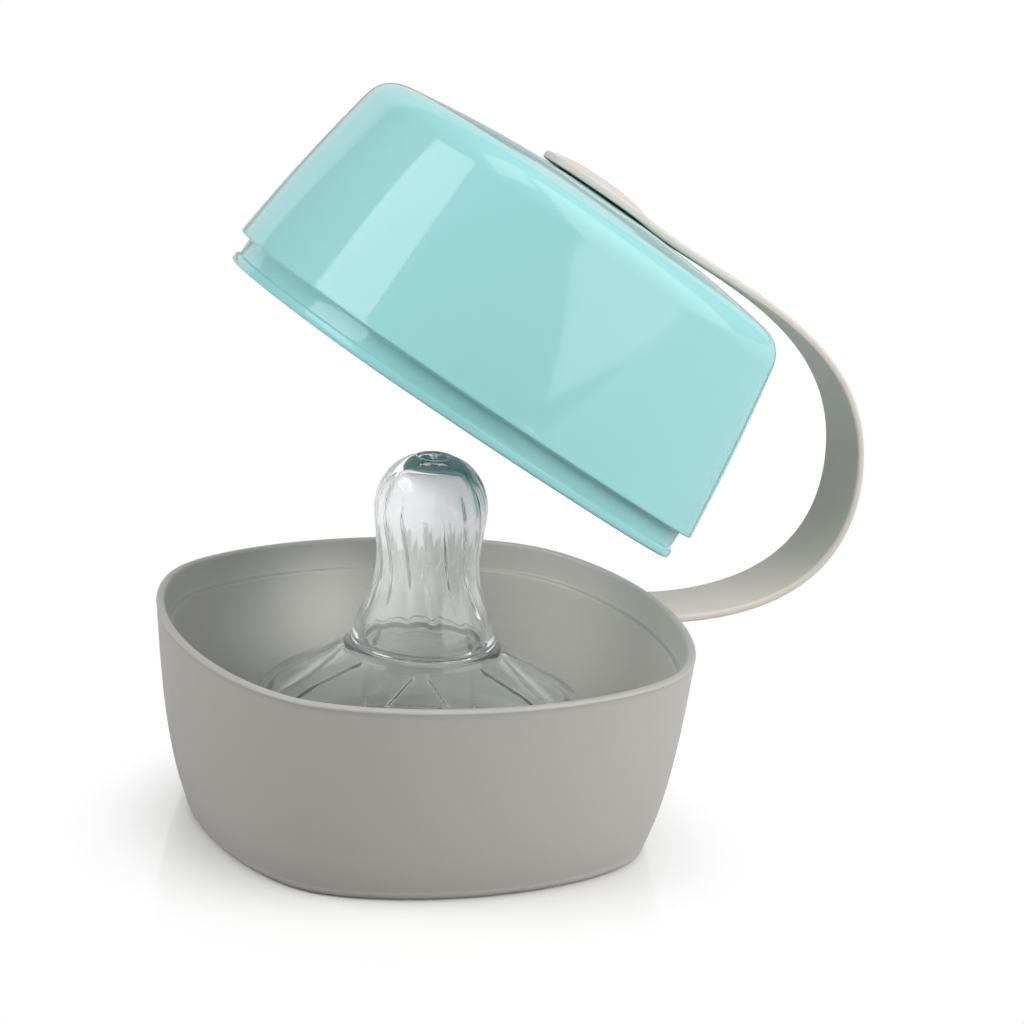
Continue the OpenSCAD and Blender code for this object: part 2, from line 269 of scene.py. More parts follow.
# %% [markdown]
# The section runs from the middle of the pocket under the foot, out over the foot ring, up the
# wall, over the rim, down into the recess and in over the floor and the step. Curved stretches get
# more points than the solid has. The part that takes the square outline is kept as its own list.

# %% Bowl section
rim_r = 0.36 * RIM_WALL
ledge_up = BOWL_H - RECESS
ledge_out = HALF_W - bowl_in(ledge_up) - BOWL_WALL
recess_out = HALF_W - RIM_WALL - 0.25
foot_out = HALF_W - bowl_in(FOOT_ROUND) - FOOT_ROUND
fillet_up = FLOOR_WALL + FLOOR_ROUND
fillet_out = HALF_W - bowl_in(fillet_up) - BOWL_WALL - FLOOR_ROUND
pocket_r = STEP_R - BOWL_WALL
pocket_up = STEP_H - FLOOR_WALL

squared = (
    [(foot_out - FOOT_RING_W - FOOT_RISE, FOOT_RISE)]
    + arc(foot_out - FOOT_RING_W, EDGE, EDGE, 180, 270, 4)
    + arc(foot_out, FOOT_ROUND, FOOT_ROUND, 270, 360, 10)
    + wall_run(FOOT_ROUND + 0.4, BOWL_H - rim_r - 0.1, 30)
    + arc(HALF_W - rim_r, BOWL_H - rim_r, rim_r, 0, 90, 6)
    + arc(HALF_W - RIM_WALL + rim_r, BOWL_H - rim_r, rim_r, 90, 180, 6)
    + arc(recess_out - EDGE, ledge_up + EDGE, EDGE, 0, -90, 4)
    + arc(ledge_out + EDGE, ledge_up - EDGE, EDGE, 90, 180, 5)
    + wall_run(ledge_up - 0.9, fillet_up, 22, BOWL_WALL)
    + arc(fillet_out, fillet_up, FLOOR_ROUND, 0, -90, 10)[1:]
)
round_top = (
    [(STEP_R + 0.5, FLOOR_WALL), (STEP_R + 0.12, FLOOR_WALL + 0.12), (STEP_R, FLOOR_WALL + 0.5)]
    + arc(STEP_R - EDGE, STEP_H - EDGE, EDGE, 0, 90, 4)
    + [(LOCATOR_R + TOE, STEP_H), (LOCATOR_R, STEP_H + TOE)]
    + arc(LOCATOR_R - EDGE, STEP_H + LOCATOR_H - EDGE, EDGE, 0, 90, 4)
    + arc(LOCATOR_R - LOCATOR_WALL + EDGE, STEP_H + LOCATOR_H - EDGE, EDGE, 90, 180, 4)
    + [(LOCATOR_R - LOCATOR_WALL, STEP_H + TOE), (LOCATOR_R - LOCATOR_WALL - TOE, STEP_H)]
    + [(FLAT_R, STEP_H), (0.0, STEP_H)]
)
round_foot = (
    [(0.0, pocket_up), (FLAT_R, pocket_up)]
    + arc(pocket_r - POCKET_EDGE, pocket_up - POCKET_EDGE, POCKET_EDGE, 90, 0, 4)
    + [(pocket_r, FOOT_RISE + TOE), (pocket_r + TOE, FOOT_RISE)]
)
bowl_section = round_foot + squared + round_top
bowl_shares = [0.0] * len(round_foot) + [1.0] * len(squared) + [0.0] * len(round_top)
print("bowl section has", len(bowl_section), "points")

# %% [markdown]
# The section is spun in 192 steps, so a step is about a millimetre and a half at the rim. Only
# the points of the wall, rim and floor edge are squared off: the step, the ring on it and the
# pocket under the foot stay round, because a round teat stands on them.

# %% Turn the bowl and square it off
bowl = spin_round(draw_section("bowl_body", bowl_section), SPIN_STEPS)
square_off(bowl, bowl_section, bowl_shares)
smooth(bowl)
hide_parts("bowl")
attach(bowl, "case")
report(bowl, "bowl")

# %% [markdown]
# The lid is a second moulding with the same outline, a little smaller. Its wall leans in and
# curves over a soft shoulder into a shallow dome, and below the skirt a thinner neck carries
# the bead that snaps into the bowl. It is drawn shut, as it was moulded.

# %% Lid sizes and wall
LID_H = 38.0
LID_WALL = 1.8
LID_INSET = 1.2
LID_LEAN = 0.1
LID_CURVE = 0.0016
SHOULDER_DROP = 8.4
SHOULDER_IN = 10.1
CROWN_RISE = 2.75
LIP_DEPTH = 4.8
NECK_IN = LID_INSET + 1.9
BEAD_IN = NECK_IN - 0.6
BEAD_H = 1.85
LIP_INSIDE = NECK_IN + 1.55
SEAT_UP = BOWL_H + 0.2
STEM_HOLE_R = 2.75
BEAD_EDGE = 0.45
OPEN_ANGLE = 33.0
FLEX_OUT, FLEX_UP = HALF_W + 26.9, BOWL_H + 13.0


def lid_out(up, thick=0.0):
    """How far out the lid's wall stands at a height over the skirt."""
    return HALF_W - LID_INSET - LID_LEAN * up - LID_CURVE * up * up - thick


print("the wall leans in by", round(lid_out(0.0) - lid_out(LID_H - SHOULDER_DROP), 2), "mm")

# %% [markdown]
# The shoulder is one pulled curve on the outside and another inside it. The dome's rings shrink
# towards the stem's hole. Each ring's share of the square outline is listed beside it.

# %% Lid section
shoulder_up = LID_H - SHOULDER_DROP
shoulder_top = shoulder_up + 0.606 * SHOULDER_DROP
shoulder_out = HALF_W - LID_INSET - SHOULDER_IN / 2
crown_out = HALF_W - LID_INSET - SHOULDER_IN
crown_up = LID_H - CROWN_RISE


def dome(scales, out, up):
    """Points over the dome: its rings shrink towards the axis as they rise."""
    return [(out * s, up + CROWN_RISE * (1 - s * s)) for s in scales]


top_scales = [0.96, 0.9, 0.82, 0.74, 0.66, 0.58, 0.5, 0.42, 0.34, 0.26, 0.18]
top_scales.append(STEM_HOLE_R / crown_out)
inner_out = crown_out - LID_WALL / 2
under_scales = [STEM_HOLE_R / inner_out, 0.18, 0.3, 0.42, 0.54, 0.66, 0.78, 0.9]
inside = (
    bent((inner_out, crown_up - LID_WALL), (shoulder_out - LID_WALL, shoulder_top - LID_WALL),
         (lid_out(shoulder_up, LID_WALL), shoulder_up - EDGE), 10)
    + [(lid_out(z, LID_WALL), z) for z in np.linspace(shoulder_up - 2, 3.4, 12).tolist()]
    + [(HALF_W - LIP_INSIDE, 1.0), (HALF_W - LIP_INSIDE, EDGE - LIP_DEPTH)]
)
lip = (
    arc(HALF_W - LIP_INSIDE + EDGE, EDGE - LIP_DEPTH, EDGE, 190, 270, 4)
    + arc(HALF_W - BEAD_IN - BEAD_EDGE, BEAD_EDGE - LIP_DEPTH, BEAD_EDGE, 270, 360, 5)
    + [(HALF_W - BEAD_IN, 0.65 * BEAD_H - LIP_DEPTH),
       (HALF_W - BEAD_IN - 0.08, 0.8 * BEAD_H - LIP_DEPTH),
       (HALF_W - NECK_IN + 0.06, 0.95 * BEAD_H - LIP_DEPTH),
       (HALF_W - NECK_IN, BEAD_H + 0.15 - LIP_DEPTH)]
    + [(HALF_W - NECK_IN, -0.3), (HALF_W - NECK_IN + 0.25, 0.0)]
)
outside = (
    arc(HALF_W - LID_INSET - EDGE, EDGE, EDGE, 270, 360, 5)
    + [(lid_out(z), z) for z in np.linspace(0.8, shoulder_up, 26).tolist()]
    + bent((lid_out(shoulder_up), shoulder_up), (shoulder_out, shoulder_top),
           (crown_out, crown_up), 16, 0.05)
)
under = dome(under_scales, inner_out, crown_up - LID_WALL)
over = dome(top_scales, crown_out, crown_up)
lid_section = under + inside + lip + outside + over
lid_section.append(lid_section[0])
lid_shares = [0.0] + under_scales[1:]
lid_shares += [1.0] * (len(inside) + len(lip) + len(outside))
lid_shares += top_scales[:-1] + [0.0, 0.0]
print("lid section has", len(lid_section), "points")

# %% [markdown]
# The lid is turned and squared off like the bowl. Over the dome the push fades towards the
# stem's hole, which stays round. Then the shell is lifted onto the bowl's rim and swung open by
# 33 degrees about the flex line, as it stands in the photograph.

# %% Turn the lid and swing it open
def swing_open(piece):
    """Lifts a piece drawn at the lid's seat onto the bowl and swings it open with the lid."""
    piece.data.transform(Matrix.Translation((0, 0, SEAT_UP * MM)))
    pivot = Matrix.Translation((FLEX_OUT * MM, 0, FLEX_UP * MM))
    piece.data.transform(pivot @ Matrix.Rotation(math.radians(OPEN_ANGLE), 4, "Y") @ pivot.inverted())
    piece.data.update()


lid = spin_round(draw_section("lid_shell", lid_section), SPIN_STEPS)
square_off(lid, lid_section, lid_shares)
swing_open(lid)
smooth(lid)
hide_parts("lid")
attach(lid, "lid")
report(lid, "lid")

# %% [markdown]
# The strap is one soft moulding. A round pad sits on the lid, its stem passes through the lid's
# hole, and the band runs out from under the pad, round the loop and down to the bowl's rim. The
# pad, with its stem and barb, is turned like the shells. Its top is a low button whose crown
# falls away to a thin edge.

# %% Pad and stem
STRAP_W = 13.0
STRAP_T = 1.4
PAD_R = 10.25
PAD_EDGE = 1.35
PAD_MID = 2.4
PAD_UP = LID_H + 0.15
STEM_R = 2.5
LOCK_T = 1.5
BARB_UP = LID_H - LID_WALL - LOCK_T - EDGE - 0.15 - PAD_UP
BARB_H = 2.0
BARB_OUT = 0.7
PAD_STEPS = 96

pad_section = (
    [(0.0, BARB_UP - BARB_H)] + arc(STEM_R - 0.75, BARB_UP - BARB_H + 0.4, 0.4, 270, 340, 3)
    + [(STEM_R + BARB_OUT - 0.05, BARB_UP - 0.65), (STEM_R + BARB_OUT, BARB_UP - 0.5),
       (STEM_R + BARB_OUT, BARB_UP - 0.1), (STEM_R + BARB_OUT - 0.1, BARB_UP), (STEM_R, BARB_UP)]
    + [(STEM_R, -0.3), (STEM_R + 0.3, 0.0)]
    + arc(PAD_R - 0.25, 0.25, 0.25, 270, 360, 4)
    + arc(PAD_R - 0.4, PAD_EDGE - 0.45, 0.4, 0, 75, 6)
    + bent((PAD_R * 0.94, PAD_EDGE), (PAD_R * 0.62, PAD_MID - 0.1), (PAD_R * 0.3, PAD_MID), 12)
    + [(PAD_R * 0.15, PAD_MID), (0.0, PAD_MID)]
)
pad = spin_round(draw_section("strap_pad", pad_section), PAD_STEPS)
pad.data.transform(Matrix.Translation((0, 0, PAD_UP * MM)))
swing_open(pad)
smooth(pad)
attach(pad, "lid")
report(pad, "strap")

# %% [markdown]
# The band is a flat strip that keeps its width while it bends, so it is drawn as one curve in the
# strap's own plane. Three knots with handles are enough: one under the pad, one at the loop's
# outermost point and one at the root. They were read off both edges of the photographed loop.

# %% Band line
LOOP_OUT, LOOP_UP = HALF_W + 32.2, BOWL_H + 23.8
PAD_TURN = 5.0
PULL_PAD, PULL_UP, PULL_DOWN, PULL_ROOT = 19.7, 25.0, 10.5, 27.2
ROOT_OUT, ROOT_UP = HALF_W + 0.1, BOWL_H - 0.8
PAD_OVERLAP = 3.0
END_PULL = 5.0


def swung(out, up):
    """Where a point of the shut lid's section stands when the lid is open."""
    arm = Vector((out - FLEX_OUT, 0, up - FLEX_UP))
    turned = Matrix.Rotation(math.radians(OPEN_ANGLE), 3, "Y") @ arm
    return Vector((turned.x + FLEX_OUT, 0, turned.z + FLEX_UP))


leaves = math.radians(OPEN_ANGLE + PAD_TURN)
heading = Vector((math.cos(leaves), 0, -math.sin(leaves)))
band_start = swung(PAD_R - PAD_OVERLAP, SEAT_UP + PAD_UP + STRAP_T / 2)
loop = Vector((LOOP_OUT, 0, LOOP_UP))
root = Vector((ROOT_OUT, 0, ROOT_UP))
knots = [
    (band_start, band_start - heading * END_PULL, band_start + heading * PULL_PAD),
    (loop, loop + Vector((0, 0, PULL_UP)), loop - Vector((0, 0, PULL_DOWN))),
    (root, root + Vector((PULL_ROOT, 0, 0)), root - Vector((END_PULL, 0, 0))),
]
print("band knots in mm:", [tuple(round(v, 1) for v in knot[0]) for knot in knots])

# %% [markdown]
# The strip's own section, a flat bar with rounded edges, is the curve's bevel, so the band has
# the same section all along. Turned into a mesh, it gets closed ends.

# %% Band strip
def round_strip(name, wide, thick, corner, corner_steps=5):
    """A closed curve: the strip's section, a flat bar with rounded edges."""
    outline = bpy.data.curves.new(name, "CURVE")
    outline.dimensions = "2D"
    spline = outline.splines.new("POLY")
    points = []
    for quarter in range(4):
        side = (wide / 2 - corner) * (1 if quarter in (0, 3) else -1)
        rise = (thick / 2 - corner) * (1 if quarter < 2 else -1)
        points += arc(side, rise, corner, quarter * 90, quarter * 90 + 90, corner_steps)
    spline.points.add(len(points) - 1)
    for point, (x, y) in zip(spline.points, points):
        point.co = (x * MM, y * MM, 0, 1)
    spline.use_cyclic_u = True
    section = bpy.data.objects.new(name, outline)
    bpy.context.scene.collection.objects.link(section)
    return section


STRIP_EDGE = 0.5
BAND_STEPS = 48
section = round_strip("band_section", STRAP_W, STRAP_T, STRIP_EDGE)
line = bpy.data.curves.new("band_line", "CURVE")
line.dimensions = "3D"
line.twist_mode = "MINIMUM"
line.resolution_u = BAND_STEPS
line.bevel_mode = "OBJECT"
line.bevel_object = section
line.use_fill_caps = True
spline = line.splines.new("BEZIER")
spline.bezier_points.add(len(knots) - 1)
for point, (at, left, right) in zip(spline.bezier_points, knots):
    point.handle_left_type = point.handle_right_type = "FREE"
    point.co, point.handle_left, point.handle_right = at * MM, left * MM, right * MM
band = bpy.data.objects.new("strap_band", line)
bpy.context.scene.collection.objects.link(band)
deselect()
band.select_set(True)
bpy.context.view_layer.objects.active = band
bpy.ops.object.convert(target="MESH")
band = bpy.context.object
bpy.data.objects.remove(section)
bpy.ops.object.mode_set(mode="EDIT")
bpy.ops.mesh.select_all(action="SELECT")
bpy.ops.mesh.remove_doubles(threshold=MERGE * MM)
bpy.ops.mesh.normals_make_consistent(inside=False)
bpy.ops.object.mode_set(mode="OBJECT")
smooth(band, 40)
report(band, "strap")

# %% [markdown]
# At the root the band ends in a small plate that is set into the bowl's rim. It is a box with all
# its edges bevelled, and it stays on the bowl's body.

# %% Root plate of the band
ROOT_PLATE_H = 2.6
ROOT_PLATE_T = 1.0
PLATE_OUT = HALF_W - 0.02
PLATE_EDGE = 0.25
deselect()
plate_mid = (PLATE_OUT, 0, ROOT_UP + STRAP_T / 2 - ROOT_PLATE_H / 2)
bpy.ops.mesh.primitive_cube_add(size=1, location=[v * MM for v in plate_mid],
                                scale=(ROOT_PLATE_T * MM, STRAP_W * MM, ROOT_PLATE_H * MM))
plate = bpy.context.object
plate.name = plate.data.name = "strap_root"
bpy.ops.object.transform_apply(location=True, rotation=True, scale=True)
bpy.ops.object.mode_set(mode="EDIT")
bpy.ops.mesh.select_all(action="SELECT")
bpy.ops.mesh.bevel(offset=PLATE_EDGE * MM, segments=4)
bpy.ops.object.mode_set(mode="OBJECT")
smooth(plate)
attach(plate, "case")
report(plate)
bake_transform(band)
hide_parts("strap")

# %% [markdown]
# The teat is clear silicone, and what shows of it is mostly its inside. Its outside is smooth but
# for a raised collar where the neck meets the shoulder and a flat ring at the tip. Inside, a small
# ledge lies under the collar. The side is a smooth line through a few stations, from the flange
# up over shoulder, collar and neck to the widest ring of the bulb.

# %% Teat sizes and side
TEAT_H = 57.6
BULB_R = 9.5
FLANGE_R = 29.5
TEAT_WALL = 1.7
GROOVE_R = FLANGE_R - 2.1
TEAT_UP = STEP_H + 0.02
TIP_HOLE_R = 0.25
SHOULDER = [(9.5, 29.0), (12.6, 28.4), (15.7, 26.4), (20.5, 18.6)]
COLLAR = [(23.3, 14.45), (23.75, 13.78), (24.05, 13.44), (24.45, 13.27), (24.8, 13.08), (24.98, 12.75),
          (25.04, 12.45), (25.3, 12.24), (25.8, 12.12)]
NECK = [(26.6, 11.98), (28.6, 11.5), (32.1, 10.1), (35.7, 9.05), (39.2, 8.7), (43.0, 8.95), (46.5, 9.38),
        (48.5, BULB_R)]
SIDE = SHOULDER + COLLAR + NECK
SPAN_POINTS = 8
COLLAR_POINTS = 3
PETAL_POINTS = [12, 20]
COLLAR_SPANS = range(4, 13)
SKIN_DROP = 0.85


def flowing(stations, spans):
    """Points on a smooth line through (up, out) stations, so many to each span."""
    made = []
    for k, parts in enumerate(spans):
        last = stations[min(k + 2, len(stations) - 1)]
        four = [stations[max(k - 1, 0)], stations[k], stations[k + 1], last]
        for i in range(parts):
            t = i / parts
            made.append(tuple(
                0.5 * (2 * q + (r - p) * t + (2 * p - 5 * q + 4 * r - s) * t * t
                       + (3 * q - p - 3 * r + s) * t**3)
                for p, q, r, s in zip(*four)))
    return made


print("the side passes", len(SIDE), "stations from", SIDE[0], "to", SIDE[-1])

# %% [markdown]
# Both skins are one closed section that turns in at the tip hole and at the flange. The inner skin
# follows the side one wall further in. It has more points where the petals will be, and at the
# collar it gives way to the ledge.

# %% Teat section
dome_up = SIDE[-1][0]
spans = [COLLAR_POINTS if k in COLLAR_SPANS else SPAN_POINTS for k in range(len(SIDE) - 1)]
side = [(out, up) for up, out in flowing(SIDE, spans)]
fine_side = [(out, up) for up, out in flowing(SIDE, spans[:2] + PETAL_POINTS + spans[4:])]
tip_dome = [
    (BULB_R * math.cos(math.radians(t)) ** 0.86,
     dome_up + (TEAT_H - dome_up) * math.sin(math.radians(t)))
    for t in range(0, 75, 6)
]
tip_ring = [(3.3, TEAT_H - 0.37), (3.15, TEAT_H - 0.27), (2.95, TEAT_H - 0.22), (2.75, TEAT_H - 0.27),
            (2.6, TEAT_H - 0.37), (2.4, TEAT_H - 0.42), (2.0, TEAT_H - 0.38), (1.4, TEAT_H - 0.34),
            (0.8, TEAT_H - 0.34), (0.45, TEAT_H - 0.4), (TIP_HOLE_R, TEAT_H - 0.55)]
flange = [(FLANGE_R - 4, 0.0), (FLANGE_R - EDGE, 0.0), (FLANGE_R - 0.08, 0.1), (FLANGE_R, EDGE),
          (FLANGE_R, 1.6), (FLANGE_R - 0.1, 1.87), (FLANGE_R - EDGE, 1.95), (GROOVE_R + 0.4, 2.3),
          (GROOVE_R, 2.7), (GROOVE_R, 5.0), (GROOVE_R + 0.3, 5.4), (FLANGE_R - 0.9, 6.1),
          (FLANGE_R - 0.6, 6.9)]
ledge = [(10.45, 25.9), (10.34, 25.5), (10.3, 25.25), (10.36, 25.08), (10.55, 24.98), (11.0, 24.93),
         (11.4, 24.86), (11.66, 24.7), (11.74, 24.45), (11.78, 24.1), (11.86, 23.7), (12.02, 23.3),
         (12.25, 22.95)]
NECK_FOOT = 26.7
SHOULDER_TOP = 23.3
SHOULDER_FOOT = 10.2
skin_neck = [(out - TEAT_WALL, up - SKIN_DROP * max(0.0, (30 - up) / 6)) for out, up in side
             if up > NECK_FOOT]
skin_shoulder = [(out - TEAT_WALL, up - SKIN_DROP) for out, up in fine_side
                 if SHOULDER_FOOT < up < SHOULDER_TOP]
skin_side = skin_shoulder + ledge[::-1] + skin_neck
skin = (
    [(TIP_HOLE_R, TEAT_H - 2.2), (2.2, TEAT_H - 2.25), (4.0, TEAT_H - 2.6), (5.3, TEAT_H - 3.4)]
    + [(6.3, TEAT_H - 4.6), (6.95, TEAT_H - 6.0)] + skin_side[::-1]
    + [(FLANGE_R - 0.55 - TEAT_WALL, 7.5), (GROOVE_R - TEAT_WALL, 5.2), (GROOVE_R - TEAT_WALL, 0.3),
       (GROOVE_R - TEAT_WALL + 0.3, 0.0)]
)
teat_section = flange + side + tip_dome + tip_ring + skin
teat_section.append(teat_section[0])
print("teat section has", len(teat_section), "points,", len(skin), "of them inside")

# %% [markdown]
# The teat is spun in more steps than the shells, because its ribs and petals need narrow faces.

# %% Turn the teat
TEAT_STEPS = 300
teat = spin_round(draw_section("teat_body", teat_section), TEAT_STEPS)
print("teat turned in", TEAT_STEPS, "steps:", len(teat.data.polygons), "faces")

# %% [markdown]
# Now the inner skin alone is moved. Twelve ribs stand out from it up the neck; they lean as they
# rise and fade out under the tip. Eight petals are pressed into the shoulder, each a pointed arch
# with an eased edge, and one of them faces the camera.

# %% Ribs and petals of the inner skin
RIBS = 12
RIB_DEPTH = 0.55
RIB_POWER = 2.6
RIB_TURN = -38.0
RIB_TURN_OVER = 30
RIB_RISE = (28, 39)
RIB_FADE = (7.5, 4.0)
PETALS = 8
PETAL_DEPTH = 0.8
PETAL_TOP = 22.9
PETAL_REACH = 17.0
PETAL_SOFT = 0.8
ARCH_FALL = 2.4
ARCH_HALF = 12.5
ARCH_EDGE = (-0.15, 0.4)
PETAL_FOOT = (10.5, 13)
PETAL_FACES = math.degrees(math.atan2(EYE[1], EYE[0]))


def into(value, start, end):
    """How far a value is into a span, from 0 to 1, eased at both ends."""
    t = np.clip((value - start) / (end - start), 0, 1)
    return t * t * (3 - 2 * t)


co = np.array([v.co for v in teat.data.vertices]) / MM
radius = np.hypot(co[:, 0], co[:, 1])
turned = np.arctan2(co[:, 1], co[:, 0])
up = co[:, 2]
inner_line = np.array(skin)
off = np.hypot(radius[:, None] - inner_line[None, :, 0], up[:, None] - inner_line[None, :, 1])
is_inner = (off.min(1) < 0.01) & (radius > 1)
rib_wave = 0.5 + 0.5 * np.cos(RIBS * (turned - math.radians(RIB_TURN) * up / RIB_TURN_OVER))
ribs = RIB_DEPTH * rib_wave**RIB_POWER * into(up, *RIB_RISE)
ribs = ribs * (1 - into(up, TEAT_H - RIB_FADE[0], TEAT_H - RIB_FADE[1]))
pitch = 360 / PETALS
across = np.abs((np.degrees(turned) - PETAL_FACES + pitch / 2) % pitch - pitch / 2)
arch_top = PETAL_TOP - ARCH_FALL * (across / ARCH_HALF) ** 2.0
petals = PETAL_DEPTH * into(arch_top - up, *ARCH_EDGE)
petals = petals * (1 - into(across, PETAL_REACH - PETAL_SOFT, PETAL_REACH + PETAL_SOFT))
petals *= into(up, *PETAL_FOOT)
push = np.where(is_inner, petals - ribs, 0)
scale = (radius + push) / np.maximum(radius, 1e-6)
co[:, 0] *= scale
co[:, 1] *= scale
co[:, 2] += TEAT_UP
teat.data.vertices.foreach_set("co", (co * MM).ravel())
teat.data.update()
smooth(teat, 40)
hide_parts("teat")
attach(teat, "teat")
report(teat, "teat")

# %% [markdown]
# Finishes are built from shader nodes. A sum or product of values is easier to read when it is
# written as one, so a small class wraps a value and adds the Math nodes.

# %% Values that vary
class Value:
    """A number that varies over a surface, used like a plain number."""

    def __init__(self, tree, socket):
        self.tree, self.socket = tree, socket

    def _math(self, operation, first, second):
        node = self.tree.nodes.new("ShaderNodeMath")
        node.operation = operation
        for port, value in zip(node.inputs, (first, second)):
            if isinstance(value, Value):
                self.tree.links.new(value.socket, port)
            else:
                port.default_value = value
        return Value(self.tree, node.outputs[0])

    def __add__(self, other):
        return self._math("ADD", self, other)

    def __sub__(self, other):
        return self._math("SUBTRACT", self, other)

    def __mul__(self, other):
        return self._math("MULTIPLY", self, other)

    def __rsub__(self, other):
        return self._math("SUBTRACT", other, self)

    __radd__ = __add__
    __rmul__ = __mul__


print("values can be added, taken away and multiplied")

# %% [markdown]
# Every other node is made by one method, which sets its options, feeds its sockets and hands back
# the output that is asked for. A constant goes straight onto the socket.

# %% Finishes
class Finish:
    """A material's node tree, with one method that adds any node."""

    def __init__(self, name):
        self.material = bpy.data.materials.new(name)
        self.material.use_nodes = True
        self.tree = self.material.node_tree
        self.tree.nodes.clear()

    def node(self, kind, settings=None, values=None, output=0):
        """Adds a node, sets it, feeds its sockets and hands back one of its outputs."""
        made = self.tree.nodes.new("ShaderNode" + kind)
        for key, value in (settings or {}).items():
            setattr(made, key, value)
        for key, value in (values or {}).items():
            port = made.inputs[key]
            if isinstance(value, Value):
                self.tree.links.new(value.socket, port)
            elif isinstance(value, tuple) and len(value) == 3 and port.type == "RGBA":
                port.default_value = (*value, 1)
            else:
                port.default_value = value
        return Value(self.tree, made.outputs[output])

    def end(self, surface):
        """Joins the surface to the output."""
        out = self.tree.nodes.new("ShaderNodeOutputMaterial")
        self.tree.links.new(surface.socket, out.inputs["Surface"])
        return self.material


def dress(piece, material):
    """The piece wears this one material."""
    piece.data.materials.clear()
    piece.data.materials.append(material)


print("a finish is one node tree that ends in one surface")

# %% [markdown]
# The bowl is satin: a fine spark-eroded grain from the mould, soft broad highlights, and a grey
# that wanders slightly between two tones. The grain is a bump whose specks are about a sixth of a
# millimetre wide and a fiftieth deep. Its roughness wanders a little as well.

# %% Bowl finish
OBJECT_SPACE = 3
GRAIN_DEPTH = 0.02
TONE_SCALE = 38.0
CLOUD_SCALE = 260.0
ROUGH_SPREAD = 0.08
PLASTIC_IOR = 1.49


def noise(finish, place, scale, detail):
    """A cloudy pattern; a higher scale is finer."""
    return finish.node("TexNoise", {}, {"Vector": place, "Scale": scale, "Detail": detail})


def between(finish, share, colour, other):
    """A colour that lies between two, by a share."""
    return finish.node("Mix", {"data_type": "RGBA"}, {"Factor": share, 6: colour, 7: other}, output=2)


def grain(finish, size_mm, strength, place):
    """A fine moulded grain as a bump."""
    speck = noise(finish, place, 1 / (size_mm * MM), 2.0)
    return finish.node("Bump", {}, {"Height": speck, "Distance": GRAIN_DEPTH * MM, "Strength": strength})


def satin(name, colour, warm, rough, size_mm, strength):
    """Moulded plastic or rubber with a wandering tone and a fine grain."""
    finish = Finish(name)
    place = finish.node("TexCoord", output=OBJECT_SPACE)
    drift = noise(finish, place, TONE_SCALE, 3.0)
    tone = between(finish, drift, colour, warm)
    cloud = noise(finish, place, CLOUD_SCALE, 2.0)
    surface = finish.node("BsdfPrincipled", {}, {
        "Base Color": tone,
        "Roughness": rough - ROUGH_SPREAD / 2 + cloud * ROUGH_SPREAD,
        "Normal": grain(finish, size_mm, strength, place),
        "IOR": PLASTIC_IOR,
    })
    return finish.end(surface)


bowl_satin = satin("bowl_satin_grey", (0.452, 0.444, 0.414), (0.432, 0.422, 0.39), 0.42, 0.16, 0.35)
dress(bowl, bowl_satin)
print("bowl wears", bowl_satin.name)

# %% [markdown]
# The lid is the same kind of plastic from a polished mould, so it mirrors the studio. A real
# gloss moulding is never flat: a slow waviness, a few hundredths of a millimetre deep, bends
# the reflections. A little light also enters the wall and softens its edges.

# %% Lid finish
WAVE_SCALE = 55.0
WAVE_DEPTH = 0.04
SCUFF_SCALE = 900.0
LIGHT_REACH = 1.5


def gloss(name, colour, deep, rough):
    """Polished moulded plastic with slow waviness and a trace of light inside."""
    finish = Finish(name)
    place = finish.node("TexCoord", output=OBJECT_SPACE)
    drift = noise(finish, place, 22.0, 1.0)
    tone = between(finish, drift, colour, deep)
    wave = noise(finish, place, WAVE_SCALE, 1.0)
    scuff = noise(finish, place, SCUFF_SCALE, 4.0)
    surface = finish.node("BsdfPrincipled", {}, {
        "Base Color": tone,
        "Roughness": rough + scuff * 0.04,
        "IOR": 1.5,
        "Subsurface Weight": 0.12,
        "Subsurface Radius": (1.0, 1.0, 1.0),
        "Subsurface Scale": LIGHT_REACH * MM,
        "Normal": finish.node("Bump", {}, {"Height": wave, "Distance": WAVE_DEPTH * MM, "Strength": 0.6}),
    })
    return finish.end(surface)


lid_gloss = gloss("lid_gloss_cyan", (0.33, 0.675, 0.685), (0.315, 0.655, 0.665), 0.05)
dress(lid, lid_gloss)
lock_gloss = gloss("lock_gloss_cyan", (0.33, 0.66, 0.67), (0.31, 0.64, 0.65), 0.12)
dress(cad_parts["strap_lock"], lock_gloss)
print("lid wears", lid_gloss.name)

# %% [markdown]
# The strap is soft rubber-like plastic, duller than the bowl and a little lighter and warmer. The
# pad is smoother, and its grey is the band's made a shade lighter: painted light for the light
# falling on its upturned top. The retaining ring inside wears the lid's cyan. It is shown by its
# solid, which needs nothing finer.

# %% Strap finish
strap_soft = satin("strap_soft_grey", (0.69, 0.622, 0.555), (0.66, 0.592, 0.525), 0.5, 0.12, 0.3)
dress(band, strap_soft)
dress(plate, strap_soft)
# The pad's slightly lighter grey is painted light on its upturned top, not a different rubber.
pad_with_painted_light = satin("pad_grey_painted_light", (0.68, 0.625, 0.565), (0.65, 0.595, 0.535), 0.42, 0.12, 0.25)
dress(pad, pad_with_painted_light)
print("strap wears", strap_soft.name, "and", pad_with_painted_light.name)

# %% [markdown]
# Silicone lets light through and bends it less than glass does. Its colour is almost water
# white. All the drawing in the teat comes from its two skins, so the finish adds only a trace
# of haze and the faint waviness of a liquid-moulded part. Real silicone this thin throws a pale
# shadow, so most shadow rays pass it.

